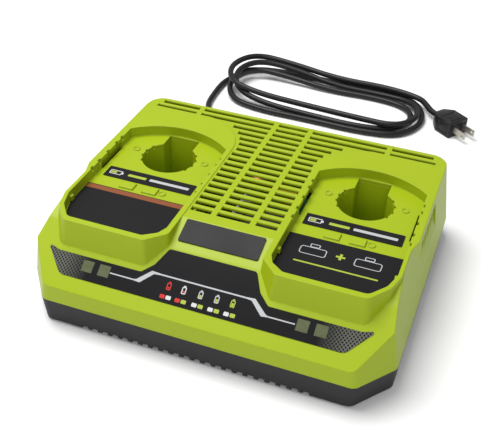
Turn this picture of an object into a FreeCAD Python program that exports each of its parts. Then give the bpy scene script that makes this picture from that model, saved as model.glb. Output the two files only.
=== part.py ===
"""Two-port power tool battery charger, as separate pieces. Millimetres, +Z up.

The origin is the bottom centre of the charger itself, measured without its mains cord.
+X is to the right seen from the front, +Y points to the back, where the cord leaves.
Distances called depth are measured backwards from the front face.
"""
import FreeCAD
import Part
import math
import os

V = FreeCAD.Vector
UP = V(0, 0, 1)

# Housing
WIDTH = 286.0               # across the seam between the two shells
DEPTH = 240.0               # front face to back face
TOP_Z = 75.0                # rim of the battery ports
GRILLE_Z = 74.4             # flat top with the cooling slots
SEAM_Z = 21.5               # where the top shell meets the base shell
BREAK_Z = 36.0              # where the front panel starts to slope
BOTTOM_Z = 1.5              # underside of the base, held up by its feet
WALL = 2.6                  # top shell
BASE_WALL = 4.4
LIP = 2.4                   # tongue of the base inside the top shell
BASE_FLOOR = 2.5
BASE_INSET = 1.5            # how much the base narrows towards its bottom
CORNER_X = 23.0             # front corner facet, across
CORNER_Y = 29.5             # front corner facet, along the side
CORNER_R = 8.0
REAR_R = 22.0
SIDE_LEAN = 8.0             # how much each side leans in, seam to rim
REAR_LEAN = 10.0
FASCIA_ANGLE = math.degrees(math.atan(0.67))
FASCIA_RUN = 43.5           # depth where the front panel ends
PLATE_RUN = 69.5            # depth where the gentler plate slope ends

# Side facet beside the front half of each port
FACET_TOP = 131.5           # half width of the facet at the rim
FACET_LEAN = 0.266          # how much it leans out for each unit of height
FACET_END = 94.5            # depth where its oblique end starts at the rim
FACET_END_SLOPE = 3.43

# Finger grip in each side
GRIP_FRONT = 112.0
GRIP_BACK = 168.0
GRIP_TOP_Z = 69.5
GRIP_BOTTOM_Z = 46.0
GRIP_DEPTH = 3.2
GRIP_RIDGES = 8
GRIP_RIDGE = 1.8

# Battery ports
PORT_X = 84.5               # port centre from the middle of the charger
FLOOR_Z = 66.4              # pocket floor
POCKET_HALF = 44.0
POCKET_FRONT = 36.5
POCKET_SIDE_END = 168.0
POCKET_BACK = 185.5
PORT_HALF = 48.3
PORT_FRONT = 31.5
PORT_BACK = 214.1
PORT_BACK_R = 43.9
PORT_FACE_LEAN = 0.195      # front wall of the port block, run for each unit of height
PORT_SIDE_LEAN = 0.1
PORT_ROOT_Z = 30.0
STEM_DEPTH = 150.2          # centre of the stem socket, from the front face
STEM_R = 22.5
CHANNEL_HALF = 13.5
CHANNEL_BACK = 183.5
WELL_WALL = 2.0
WELL_BOTTOM_Z = 13.0
LATCH_FRONT = 115.3
LATCH_BACK = 151.0
LATCH_CUT = 2.6
TOOTH = 4.0                 # rim notches beside the latch slots
BOSS_R = 3.2
PAD = (12.0, 8.5, 1.6)      # raised pads between the two stickers

# Grille
SLOT_ROWS = 18
SLOT_PITCH = 8.38
SLOT_FIRST = 222.8          # front edge of the rearmost slot
SLOT_DEPTH = 4.4
SLOT_CHAMFER = 0.9
RIB_X = 15.5
RIB_OUTER_X = 85.6
RIB = 4.6
SLOT_MARGIN = 1.8           # from the slot's end to the port block

# Stickers and films
FILM = 0.4
PLATE_SIZE = (62.4, 20.0)
PLATE_START = 6.2
STRIP_HALF = 38.4
STRIP_FRONT = 105.9
STRIP_BACK = 120.4
LABEL_BACK = 92.3
LABEL_GAP = 0.6
OVERLAY_TIP_X = 125.6
OVERLAY_TIP_S = 31.4
OVERLAY_LOW_X = 108.5
OVERLAY_LOW_S = 11.2
OVERLAY_WALL_S = 32.0
OVERLAY_TOP_X = 35.3
OVERLAY_TOP_S = 50.4

# Indicators
LED_X = (75.9, 89.3)
LED_S = 21.8
WINDOW = 9.0
FIT = 0.15                  # clearance between fixed pieces
RUN = 0.3                   # clearance round moving or round-on-round pieces
PIPE_LENGTH = 7.0
LED_R = 2.4
LED_BOARD = (34.0, 15.0, 1.6)
LED_GAP = 3.4

# Fixings and feet
SCREW_AT = ((-124.0, 38.0), (124.0, 38.0), (-122.0, 222.0), (122.0, 222.0), (0.0, 27.0), (0.0, 226.0))
POST_R = 5.0
POST_TOP_Z = 10.0
HEAD_R = 3.1
HEAD_H = 2.2
SHANK_R = 1.5
SHANK_TOP_Z = 24.0
SEAT_Z = 6.2                # where a housing screw's head pulls up
FOOT_AT = ((-122.0, 62.0), (122.0, 62.0), (-120.0, 198.0), (120.0, 198.0))
FOOT_R = 7.5
FOOT_RECESS = 0.9
VENT_COUNT = 22
VENT_PITCH = 8.25
VENT = (4.8, 3.0, 2.4)
KEY_X = 46.0
KEY_DEPTH = 138.0
KEY_R = 4.6
KEY_SLOT_R = 2.3
KEY_RUN = 9.0

# Main board and what stands on it
BOARD = (96.0, 150.0, 1.6)
BOARD_FRONT = 62.0
BOARD_Z = 12.0
BOARD_INSET = 5.0
BOARD_SCREW_R = 1.4
TRANSFORMER_X = 11.6
TRANSFORMER_DEPTH = 124.0
CHOKE_X = -20.0
CHOKE_DEPTH = 190.0
MAINS_AT = (-42.0, 190.0)
OUTPUT_DEPTH = 76.5

# Contacts in the stem wells
LEAF_ROOT_X = 29.0
LEAF_ROOT_Z = 16.6
LEAF_ROOT_R = 1.3
LEAF_T = 0.7
LEAF_W = 8.0
LEAF_TOUCH_X = 21.0
LEAF_TOUCH_Z = 29.0
LEAF_TIP_X = 23.6
LEAF_TIP_Z = 35.5
LEAF_SWING = 5.0
BLOCK = (70.0, 15.0, 2.4)

# Mains cord
CORD_R = 3.1
CORD_X = -96.0              # where it leaves the back
CORD_Z = 13.0
RELIEF_LENGTH = 34.0
PLUG_BODY = (30.0, 25.0, 17.0)
PLUG_REAR = (101.5, DEPTH / 2 + 179.5)
PLUG_TURN = -37.0
BLADE = (17.0, 1.5, 6.35)
BLADE_PITCH = 12.7

# Hank: the outer loop's half length and half width, and how loops step inwards
HANK_X = -25.0
HANK_Y = DEPTH / 2 + 171.0
HANK_HALF_X = 113.0
HANK_HALF_Y = 57.0
HANK_WAIST = 0.2
HANK_STEP = 8.6
HANK_TURNS = 3.43
HANK_REVERSE = 1.75
LAYER_Z = 6.9
CORD_FLOOR = 0.15           # cord's lowest line above the surface


def back(depth):
    """Y of a place that is the given depth behind the front face."""
    return depth - DEPTH / 2


def flat(z):
    return lambda u, v: V(u, v, z)


def wall_yz(x):
    return lambda u, v: V(x, back(u), v)


def wall_xz(y):
    return lambda u, v: V(u, y, v)


def rounded(corners, place, last_arc=None):
    """Closed wire through (u, v, radius) corners; last_arc bulges the closing side."""
    count = len(corners)
    ends = []
    for i, (u, v, r) in enumerate(corners):
        here = V(u, v, 0)
        before = V(corners[i - 1][0], corners[i - 1][1], 0).sub(here)
        after = V(corners[(i + 1) % count][0], corners[(i + 1) % count][1], 0).sub(here)
        before.normalize()
        after.normalize()
        if r <= 0:
            ends.append((here, None, here))
            continue
        half = before.getAngle(after) / 2
        reach = r / math.tan(half)
        inward = before.add(after)
        inward.normalize()
        middle = here.add(inward * (r / math.sin(half) - r))
        ends.append((here.add(before * reach), middle, here.add(after * reach)))
    edges = []
    for i, (start, middle, end) in enumerate(ends):
        if middle is not None:
            edges.append(Part.Arc(place(start.x, start.y), place(middle.x, middle.y), place(end.x, end.y)))
        following = ends[(i + 1) % count][0]
        if i == count - 1 and last_arc:
            edges.append(Part.Arc(place(end.x, end.y), place(*last_arc), place(following.x, following.y)))
        elif end.sub(following).Length > 1e-6:
            edges.append(Part.LineSegment(place(end.x, end.y), place(following.x, following.y)))
    return Part.Wire([edge.toShape() for edge in edges])


def prism(wire, direction):
    return Part.Face(wire).extrude(direction)


def block(x0, x1, y0, y1, z0, z1):
    return Part.makeBox(x1 - x0, y1 - y0, z1 - z0, V(x0, y0, z0))


def post(x, y, z0, z1, r):
    return Part.makeCylinder(r, z1 - z0, V(x, y, z0))


def fuse(shapes):
    shapes = list(shapes)
    return shapes[0].multiFuse(shapes[1:]).removeSplitter() if len(shapes) > 1 else shapes[0]


def save(name, shapes):
    """Write one node; several loose solids stay separate in it."""
    shapes = shapes if isinstance(shapes, list) else [shapes]
    solids = [solid for shape in shapes for solid in shape.Solids]
    shape = solids[0] if len(solids) == 1 else Part.makeCompound(solids)
    assert shape.isValid(), name
    shape.exportStep("parts/" + name + ".step")
    print(name, len(solids), round(shape.Volume / 1000.0, 2), "cm3")


# Housing outlines

def body_outline(z, inset=0.0):
    """Outside of the housing at a height, or a line inset from it."""
    rise = (z - SEAM_Z) / (TOP_Z - SEAM_Z)
    if z < SEAM_Z:
        shrink = BASE_INSET * (SEAM_Z - z) / (SEAM_Z - BOTTOM_Z)
        side, rear, front = shrink, shrink, shrink
        rear_r = REAR_R
    else:
        side, rear, front = SIDE_LEAN * rise, REAR_LEAN * rise, 0.0
        rear_r = REAR_R - 8.0 * rise
    x = WIDTH / 2 - side - inset
    y0 = back(front + inset)
    y1 = back(DEPTH - rear - inset)
    facet = math.hypot(CORNER_X, CORNER_Y)
    corner_y = back(front) + CORNER_Y + inset * (facet - CORNER_Y) / CORNER_X
    corner_x = x + inset - CORNER_X - inset * (facet - CORNER_X) / CORNER_Y
    return rounded([(-corner_x, y0, CORNER_R), (corner_x, y0, CORNER_R), (x, corner_y, CORNER_R),
                    (x, y1, rear_r - inset), (-x, y1, rear_r - inset), (-x, corner_y, CORNER_R)], flat(z))


def drafted(z0, z1, inset=0.0):
    return Part.makeLoft([body_outline(z0, inset), body_outline(z1, inset)], True, True)


def profile_block(drop=0.0):
    """Everything under the front panel, plate slope and grille, lowered by a wall."""
    slope = math.tan(math.radians(FASCIA_ANGLE))
    lift = drop / math.cos(math.radians(FASCIA_ANGLE))
    wire = rounded([(-5, -5, 0), (-5, BREAK_Z - 5 * slope - lift, 0),
                    (FASCIA_RUN, BREAK_Z + FASCIA_RUN * slope - lift, 15), (PLATE_RUN, GRILLE_Z - drop, 4),
                    (DEPTH + 5, GRILLE_Z - drop, 0), (DEPTH + 5, -5, 0)], wall_yz(-WIDTH))
    return prism(wire, V(2 * WIDTH, 0, 0))


def facet_cut(side, inset=0.0):
    """What the side facet takes off the drafted side, back to its oblique end."""
    def lean(z):
        return FACET_TOP + FACET_LEAN * (TOP_Z - z) - inset
    far = WIDTH
    section = [(lean(TOP_Z + 5), TOP_Z + 5), (lean(BREAK_Z), BREAK_Z), (far, BREAK_Z), (far, TOP_Z + 5)]
    wire = rounded([(side * x, z, 0) for x, z in section], wall_xz(back(-10)))
    solid = prism(wire, V(0, DEPTH, 0))
    near = FACET_TOP - 12
    plan = [(near, back(-10)), (far, back(-10)),
            (far, back(FACET_END + inset + (far - FACET_TOP) * FACET_END_SLOPE)),
            (near, back(FACET_END + inset - 12 * FACET_END_SLOPE))]
    cut = prism(rounded([(side * x, y, 0) for x, y in plan], flat(0)), UP * (TOP_Z + 10))
    return solid.common(cut)


def port_outline(side, z, inset=0.0):
    """Port block in plan, mirrored so that its rounded rear corner faces the middle."""
    low = TOP_Z - z
    front = PORT_FRONT - PORT_FACE_LEAN * low + inset
    inner = -(PORT_HALF + PORT_SIDE_LEAN * low) + inset
    outer = 47.0 + PORT_SIDE_LEAN * low - inset
    rear = PORT_BACK - inset
    chamfer = 13.8
    corners = [(inner, rear, PORT_BACK_R - inset), (inner, front + chamfer, 5), (inner + chamfer, front, 5),
               (outer - 16.0, front, 8), (outer - 4.0, front + 16.5, 10), (outer, front + 31.5, 10),
               (outer, FACET_END - 2, 0), (outer + 15, FACET_END + 12, 0), (outer + 15, rear, 0)]
    return rounded([(side * (PORT_X + u), back(v), r) for u, v, r in corners], flat(z))


def port_block(side, top, inset=0.0):
    return Part.makeLoft([port_outline(side, PORT_ROOT_Z, inset), port_outline(side, top, inset)], True, True)


def outer_body():
    """The outside form of the top shell, still solid."""
    hull = drafted(SEAM_Z, TOP_Z)
    for side in (-1, 1):
        hull = hull.cut(facet_cut(side))
    body = hull.common(profile_block())
    ports = [port_block(side, TOP_Z).common(hull) for side in (-1, 1)]
    return fuse([body] + ports)


def inner_body():
    """The hollow inside the top shell."""
    hull = drafted(SEAM_Z, TOP_Z, WALL)
    for side in (-1, 1):
        hull = hull.cut(facet_cut(side, WALL))
    body = hull.common(profile_block(WALL))
    under = FLOOR_Z - WALL
    ports = [port_block(side, TOP_Z, WALL).common(hull).common(block(-WIDTH, WIDTH, -DEPTH, DEPTH, 0, under))
             for side in (-1, 1)]
    hollow = fuse([body] + ports)
    for side in (-1, 1):
        hollow = hollow.cut(pocket(side, under, TOP_Z + 5, WALL))
    return hollow


# Port details

def pocket(side, z0, z1, grow=0.0):
    """The open pocket that takes the battery's shoulders."""
    half = POCKET_HALF + grow
    front = POCKET_FRONT - grow
    corners = [(-half, POCKET_SIDE_END, 0), (-half, front + 15, 4), (-half + 3.4, front + 7, 4),
               (-half + 13, front, 4), (half - 14, front, 6), (half - 4, front + 13, 8), (half, front + 27, 8),
               (half, POCKET_SIDE_END, 0)]
    wire = rounded([(side * (PORT_X + u * 1.0), back(v), r) for u, v, r in corners], flat(z0),
                   (side * PORT_X, back(POCKET_BACK + grow)))
    return prism(wire, UP * (z1 - z0))


def socket(side, z0, z1, grow=0.0):
    """Round stem socket with its channel to the pocket's back wall."""
    x = side * PORT_X
    ring = post(x, back(STEM_DEPTH), z0, z1, STEM_R + grow)
    channel = block(x - CHANNEL_HALF - grow, x + CHANNEL_HALF + grow,
                    back(STEM_DEPTH), back(CHANNEL_BACK + grow), z0, z1)
    return fuse([ring, channel])


def port_cuts(side):
    """Pocket, socket, small notches round it, latch slots and rim teeth."""
    x = side * PORT_X
    cuts = [pocket(side, FLOOR_Z, TOP_Z + 5), socket(side, 30, FLOOR_Z + 5)]
    for turn in (150, 170, 190, 210, -30, -10, 10, 30):
        notch = block(STEM_R - 1, STEM_R + 1.1, -1.4, 1.4, FLOOR_Z - WALL - 1, FLOOR_Z + 1)
        notch.rotate(V(0, 0, 0), UP, turn)
        notch.translate(V(x, back(STEM_DEPTH), 0))
        cuts.append(notch)
    for edge in (-1, 1):
        wall = x + edge * POCKET_HALF
        cuts.append(block(wall - LATCH_CUT / 2 - 0.9, wall + LATCH_CUT / 2 - 0.4, back(LATCH_FRONT), back(LATCH_BACK),
                          FLOOR_Z - WALL - 1, TOP_Z - 3.4))
        for depth in (99.0, 111.0, 126.0, 141.0, 150.5):
            cuts.append(block(wall - 1.5, wall + 1.5, back(depth), back(depth + TOOTH), TOP_Z - 3.4, TOP_Z + 1))
    return cuts


def port_adds(side):
    """Small bosses, raised pads and the two ledges by the large sticker."""
    x = side * PORT_X
    adds = []
    for u, depth in ((-31.0, 152.2), (31.0, 152.2), (17.1, 99.6)):
        ring = post(x + u, back(depth), FLOOR_Z - 0.5, FLOOR_Z + 0.7, BOSS_R)
        adds.append(ring.cut(post(x + u, back(depth), FLOOR_Z + 0.2, FLOOR_Z + 1, BOSS_R - 1.1)))
    for u in (-12.4, 7.2):
        pad = block(x + u - PAD[0] / 2, x + u + PAD[0] / 2, back(99.2 - PAD[1] / 2), back(99.2 + PAD[1] / 2),
                    FLOOR_Z - 0.5, FLOOR_Z + PAD[2])
        adds.append(pad.makeFillet(0.8, [e for e in pad.Edges if e.BoundBox.ZMin > FLOOR_Z]))
    for edge in (-1, 1):
        wall = x + edge * POCKET_HALF
        adds.append(block(min(wall - edge * 2.2, wall + edge), max(wall - edge * 2.2, wall + edge),
                          back(63.5), back(67.0), FLOOR_Z + FILM + 0.3, FLOOR_Z + 5.0))
    return adds


def slot(x0, x1, depth):
    """One grille slot with bevelled edges, as its cutter."""
    top = GRILLE_Z + 1
    low = GRILLE_Z - SLOT_CHAMFER
    section = [(depth, 20, 0), (depth + SLOT_DEPTH, 20, 0), (depth + SLOT_DEPTH, low, 0),
               (depth + SLOT_DEPTH + 0.8, GRILLE_Z, 0), (depth + SLOT_DEPTH + 0.8, top, 0), (depth - 0.8, top, 0),
               (depth - 0.8, GRILLE_Z, 0), (depth, low, 0)]
    return prism(rounded([(u, v, r) for u, v, r in section], wall_yz(x0)), V(x1 - x0, 0, 0)).common(
        block(-WIDTH, WIDTH, -DEPTH, DEPTH, GRILLE_Z - 8, top))


def slot_cuts():
    cuts = []
    near = RIB_X + RIB / 2
    arc_x = PORT_X - PORT_HALF + PORT_BACK_R
    arc_depth = PORT_BACK - PORT_BACK_R
    reach = PORT_BACK_R + SLOT_MARGIN + 1.0
    for row in range(SLOT_ROWS):
        depth = SLOT_FIRST - row * SLOT_PITCH
        cuts.append(slot(-RIB_X + RIB / 2, RIB_X - RIB / 2, depth))
        if depth > PORT_BACK:
            spans = [(near, RIB_OUTER_X - RIB / 2), (RIB_OUTER_X + RIB / 2, 126.0 - 3.0 * (row == 0))]
        elif depth > arc_depth:
            end = arc_x - math.sqrt(max(reach ** 2 - (depth - 0.8 - arc_depth) ** 2, 0))
            spans = [(near, end)]
        else:
            spans = [(near, PORT_X - PORT_HALF - SLOT_MARGIN)]
        for x0, x1 in spans:
            cuts.append(slot(x0, x1, depth))
            cuts.append(slot(-x1, -x0, depth))
    return cuts


def grip_cut(side):
    """Scoop in the side wall for a finger, with its ridges left standing."""
    def side_x(z):
        return WIDTH / 2 - SIDE_LEAN * (z - SEAM_Z) / (TOP_Z - SEAM_Z)
    knee = GRIP_TOP_Z - 5.5
    section = [(side_x(GRIP_TOP_Z) - GRIP_DEPTH, GRIP_TOP_Z), (side_x(knee) - GRIP_DEPTH, knee),
               (side_x(GRIP_BOTTOM_Z) + 0.4, GRIP_BOTTOM_Z), (WIDTH / 2 + 5, GRIP_BOTTOM_Z),
               (WIDTH / 2 + 5, GRIP_TOP_Z)]
    wire = rounded([(side * x, z, 0) for x, z in section], wall_xz(back(GRIP_FRONT)))
    scoop = prism(wire, V(0, GRIP_BACK - GRIP_FRONT, 0))
    ridge_line = [(side_x(GRIP_TOP_Z) - 10, GRIP_TOP_Z + 1), (side_x(GRIP_TOP_Z) - 1.2, GRIP_TOP_Z + 1),
                  (side_x(GRIP_BOTTOM_Z) - 1.2, GRIP_BOTTOM_Z - 1), (side_x(GRIP_BOTTOM_Z) - 10, GRIP_BOTTOM_Z - 1)]
    pitch = (GRIP_BACK - GRIP_FRONT) / (GRIP_RIDGES + 1)
    for i in range(GRIP_RIDGES):
        y = back(GRIP_FRONT + pitch * (i + 1) - GRIP_RIDGE / 2)
        scoop = scoop.cut(prism(rounded([(side * x, z, 0) for x, z in ridge_line], wall_xz(y)), V(0, GRIP_RIDGE, 0)))
    return scoop


# Sloped front panel: local x, distance up the slope and height over it

def on_fascia(shape):
    shape.rotate(V(0, 0, 0), V(1, 0, 0), FASCIA_ANGLE)
    shape.translate(V(0, back(0), BREAK_Z))
    return shape


def on_plate_slope(shape):
    rise = GRILLE_Z - BREAK_Z - FASCIA_RUN * math.tan(math.radians(FASCIA_ANGLE))
    angle = math.degrees(math.atan2(rise, PLATE_RUN - FASCIA_RUN))
    shape.rotate(V(0, 0, 0), V(1, 0, 0), angle)
    shape.translate(V(0, back(FASCIA_RUN), GRILLE_Z - rise))
    return shape


def led_places():
    return [(side * x, LED_S) for side in (-1, 1) for x in LED_X]


def window_cut(x, s, size, w0, w1):
    return block(x - size / 2, x + size / 2, s - size / 2, s + size / 2, w0, w1)


def led_pegs():
    """Pegs under the front panel that carry the two indicator boards."""
    top = -WALL + 0.8
    bottom = -(PIPE_LENGTH + LED_GAP)
    pegs = []
    for side in (-1, 1):
        middle = side * sum(LED_X) / 2
        for u in (-LED_BOARD[0] / 2 + 2.4, LED_BOARD[0] / 2 - 2.4):
            pegs.append(on_fascia(post(middle + u, LED_S, bottom, top, 1.8)))
    return pegs


def top_shell(outer):
    shell = outer.cut(inner_body())
    bosses = [post(x, back(d), POST_TOP_Z, TOP_Z, POST_R - 0.8) for x, d in SCREW_AT]
    bosses = [boss.common(fuse([outer, block(-WIDTH / 2 + 8, WIDTH / 2 - 8, back(8), back(DEPTH - 8), 5, SEAM_Z + 1)]))
              for boss in bosses]
    shell = shell.multiFuse(bosses + led_pegs())
    cuts = slot_cuts() + [grip_cut(side) for side in (-1, 1)]
    for side in (-1, 1):
        cuts += port_cuts(side)
    cuts += [post(x, back(d), 0, SHANK_TOP_Z + 2, SHANK_R + FIT) for x, d in SCREW_AT]
    cuts += [on_fascia(window_cut(x, s, WINDOW, -WALL - 2, 2)) for x, s in led_places()]
    shell = shell.cut(cuts)
    adds = port_adds(-1) + port_adds(1)
    return shell.multiFuse(adds).removeSplitter()


# Base shell

def key_hole(side):
    x = side * KEY_X
    y = back(KEY_DEPTH)
    z0, z1 = BOTTOM_Z - 1, BOTTOM_Z + BASE_FLOOR + 1
    return fuse([post(x, y, z0, z1, KEY_R), post(x, y + KEY_RUN, z0, z1, KEY_SLOT_R),
                 block(x - KEY_SLOT_R, x + KEY_SLOT_R, y, y + KEY_RUN, z0, z1)])


def board_posts():
    x = BOARD[0] / 2 - BOARD_INSET
    return [(sx * x, depth) for sx in (-1, 1) for depth in (BOARD_FRONT + BOARD_INSET,
                                                            BOARD_FRONT + BOARD[1] - BOARD_INSET)]


def base_shell():
    floor_z = BOTTOM_Z + BASE_FLOOR
    tray = drafted(BOTTOM_Z, SEAM_Z).cut(Part.makeLoft(
        [body_outline(floor_z, BASE_WALL), body_outline(SEAM_Z + 1, BASE_WALL)], True, True))
    tongue = drafted(SEAM_Z, SEAM_Z + LIP, WALL + FIT).cut(prism(body_outline(SEAM_Z, BASE_WALL), UP * (LIP + 1)))
    posts = [post(x, back(d), BOTTOM_Z, POST_TOP_Z, POST_R) for x, d in SCREW_AT]
    posts += [post(x, back(d), BOTTOM_Z, BOARD_Z, 3.4) for x, d in board_posts()]
    saddle = block(CORD_X - 12, CORD_X + 12, back(214), back(226), BOTTOM_Z, CORD_Z - CORD_R)
    shell = tray.multiFuse([tongue, saddle] + posts)
    cuts = []
    for x, d in SCREW_AT:
        cuts.append(post(x, back(d), BOTTOM_Z - 1, SEAT_Z, HEAD_R + RUN))
        cuts.append(post(x, back(d), SEAT_Z - 1, POST_TOP_Z + 1, SHANK_R + RUN))
    cuts += [post(x, back(d), BOARD_Z - 7, BOARD_Z + 1, BOARD_SCREW_R + FIT) for x, d in board_posts()]
    cuts += [post(x, back(d), BOTTOM_Z - 1, BOTTOM_Z + FOOT_RECESS, FOOT_R + RUN) for x, d in FOOT_AT]
    cuts += [key_hole(-1), key_hole(1)]
    start = -(VENT_COUNT - 1) * VENT_PITCH / 2
    for i in range(VENT_COUNT):
        x = start + i * VENT_PITCH
        for y in (back(BASE_INSET - 1), back(DEPTH - BASE_INSET - VENT[1] + 1)):
            cuts.append(block(x - VENT[0] / 2, x + VENT[0] / 2, y, y + VENT[1], BOTTOM_Z - 1, BOTTOM_Z + VENT[2]))
    for i in range(9):
        cuts.append(block(-24, 24, back(76 + i * 6), back(78.6 + i * 6), BOTTOM_Z - 1, floor_z + 1))
    bore = Part.makeCylinder(CORD_R + 1.5, 14, V(CORD_X, back(DEPTH - 9), CORD_Z), V(0, 1, 0))
    clamp_holes = [post(CORD_X + s * 8.5, back(220), floor_z, CORD_Z, 1.3 + FIT) for s in (-1, 1)]
    return shell.cut(cuts + [bore] + clamp_holes).removeSplitter()


# Films, plates and indicators

def fascia_overlay():
    corners = [(-OVERLAY_TIP_X, OVERLAY_TIP_S, 1), (-OVERLAY_LOW_X, OVERLAY_LOW_S, 8),
               (OVERLAY_LOW_X, OVERLAY_LOW_S, 8), (OVERLAY_TIP_X, OVERLAY_TIP_S, 1),
               (PORT_X + 31, OVERLAY_WALL_S - 3.4, 4), (PORT_X - PORT_HALF + 12.6, OVERLAY_WALL_S - 3.4, 3),
               (OVERLAY_TOP_X + 5.2, OVERLAY_WALL_S + 4.4, 8), (OVERLAY_TOP_X - 1.6, OVERLAY_TOP_S, 3)]
    corners += [(-x, s, r) for x, s, r in reversed(corners[4:])]
    film = prism(rounded(corners, flat(0)), UP * FILM)
    holes = [window_cut(x, s, WINDOW, -1, FILM + 1) for x, s in led_places()]
    return on_fascia(film.cut(holes))


def indicator_windows():
    return [on_fascia(window_cut(x, s, WINDOW - 2 * FIT, 0, FILM)) for x, s in led_places()]


def light_pipes():
    pipes = []
    for x, s in led_places():
        head = window_cut(x, s, WINDOW - 2 * FIT, -WALL, 0)
        flange = window_cut(x, s, WINDOW + 1.6, -WALL - 1.2, -WALL)
        stem = post(x, s, -PIPE_LENGTH, -WALL - 1.0, LED_R + 0.4)
        pipes.append(on_fascia(fuse([head, flange, stem])))
    return pipes


def led_boards():
    boards = []
    top = -(PIPE_LENGTH + LED_GAP)
    for side in (-1, 1):
        middle = side * sum(LED_X) / 2
        board = block(middle - LED_BOARD[0] / 2, middle + LED_BOARD[0] / 2, LED_S - LED_BOARD[1] / 2,
                      LED_S + LED_BOARD[1] / 2, top - LED_BOARD[2], top)
        boards.append(on_fascia(board))
    return boards


def leds():
    lamps = []
    seat = -(PIPE_LENGTH + LED_GAP)
    for x, s in led_places():
        body = post(x, s, seat, seat + 1.4, LED_R)
        dome = Part.makeSphere(LED_R - 0.5, V(x, s, seat + 1.2))
        lamps.append(on_fascia(fuse([body, dome.common(post(x, s, seat + 1, seat + 5, LED_R))])))
    return lamps


def brand_plate():
    half = PLATE_SIZE[0] / 2
    corners = [(-half, PLATE_START, 1.5), (half, PLATE_START, 1.5), (half, PLATE_START + PLATE_SIZE[1], 1.5),
               (-half, PLATE_START + PLATE_SIZE[1], 1.5)]
    return on_plate_slope(prism(rounded(corners, flat(0)), UP * (FILM * 2)))


def strip_label(side):
    x = side * PORT_X
    corners = [(x - STRIP_HALF, back(STRIP_FRONT), 1), (x + STRIP_HALF, back(STRIP_FRONT), 1),
               (x + STRIP_HALF, back(STRIP_BACK), 1), (x - STRIP_HALF, back(STRIP_BACK), 1)]
    return prism(rounded(corners, flat(FLOOR_Z)), UP * FILM)


def pocket_label(side):
    film = pocket(side, FLOOR_Z, FLOOR_Z + FILM, -LABEL_GAP)
    return film.common(block(-WIDTH, WIDTH, -DEPTH, back(LABEL_BACK), 0, TOP_Z))


# Fixings

def feet():
    solids = []
    for x, d in FOOT_AT:
        foot = post(x, back(d), 0, BOTTOM_Z + FOOT_RECESS, FOOT_R)
        solids.append(foot.makeFillet(0.8, [e for e in foot.Edges if e.BoundBox.ZMax < 0.1]))
    return solids


def screw(x, depth, z_seat, length, head_r, head_h, shank_r, upward):
    """Pan head screw with a cross recess; upward says which way its shank points."""
    turn = 1 if upward else -1
    y = back(depth)
    z0, z1 = sorted((z_seat, z_seat - turn * head_h))
    head = post(x, y, z0, z1, head_r)
    z2, z3 = sorted((z_seat, z_seat + turn * length))
    shank = post(x, y, z2, z3, shank_r)
    outer = z_seat - turn * head_h
    c0, c1 = sorted((outer, outer + turn * 1.2))
    cross = fuse([block(x - 1.7, x + 1.7, y - 0.4, y + 0.4, c0, c1), block(x - 0.4, x + 0.4, y - 1.7, y + 1.7, c0, c1)])
    return fuse([head, shank]).cut(cross)


def housing_screws():
    return [screw(x, d, SEAT_Z, SHANK_TOP_Z - SEAT_Z, HEAD_R, HEAD_H, SHANK_R, True) for x, d in SCREW_AT]


def board_screws():
    top = BOARD_Z + BOARD[2]
    return [screw(x, d, top, 7.5, 2.6, 1.9, BOARD_SCREW_R, False) for x, d in board_posts()]


# Stem wells and contacts

def stem_well(side):
    """Socket below the pocket floor, closed at its bottom, windowed for the contacts."""
    top = FLOOR_Z - WALL
    x = side * PORT_X
    well = socket(side, WELL_BOTTOM_Z, top, WELL_WALL).cut(socket(side, WELL_BOTTOM_Z + WELL_WALL, top + 1))
    y = back(STEM_DEPTH)
    for edge in (-1, 1):
        x0, x1 = sorted((x + edge * (STEM_R - 7), x + edge * (STEM_R + 5)))
        well = well.cut(block(x0, x1, y - LEAF_W / 2 - 1, y + LEAF_W / 2 + 1, LEAF_ROOT_Z + 2.6, LEAF_TIP_Z + 3.5))
    for u in (-7.0, 7.0):
        well = well.cut(block(x + u - 1.5, x + u + 1.5, y - STEM_R - 5, y - STEM_R + 5, WELL_BOTTOM_Z + 5, 30))
    return well.removeSplitter()


def terminal_block(side):
    """Carrier under the well: a plate with two cradles for the leaf roots."""
    x = side * PORT_X
    y = back(STEM_DEPTH)
    plate = block(x - BLOCK[0] / 2, x + BLOCK[0] / 2, y - BLOCK[1] / 2, y + BLOCK[1] / 2,
                  WELL_BOTTOM_Z - BLOCK[2], WELL_BOTTOM_Z)
    parts = [plate]
    for edge in (-1, 1):
        x0, x1 = sorted((x + edge * (STEM_R + WELL_WALL + RUN), x + edge * (BLOCK[0] / 2)))
        cradle = block(x0, x1, y - BLOCK[1] / 2, y + BLOCK[1] / 2, WELL_BOTTOM_Z - 1, LEAF_ROOT_Z + 1.2)
        root = x + edge * LEAF_ROOT_X
        groove = Part.makeCylinder(LEAF_ROOT_R + RUN, LEAF_W + 2 * RUN, V(root, y - LEAF_W / 2 - RUN, LEAF_ROOT_Z), V(0, 1, 0))
        mouth = block(root - 2.4, root + 2.4, y - LEAF_W / 2 - RUN, y + LEAF_W / 2 + RUN, LEAF_ROOT_Z, LEAF_ROOT_Z + 3)
        parts.append(cradle.cut(fuse([groove, mouth])))
    carrier = fuse(parts)
    for depth in (-1, 1):
        foot = block(x - 12, x + 12, y + depth * 5.0 - 1.5, y + depth * 5.0 + 1.5, BOTTOM_Z + BASE_FLOOR, WELL_BOTTOM_Z - 1)
        carrier = carrier.fuse(foot)
    return carrier.removeSplitter()


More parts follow.
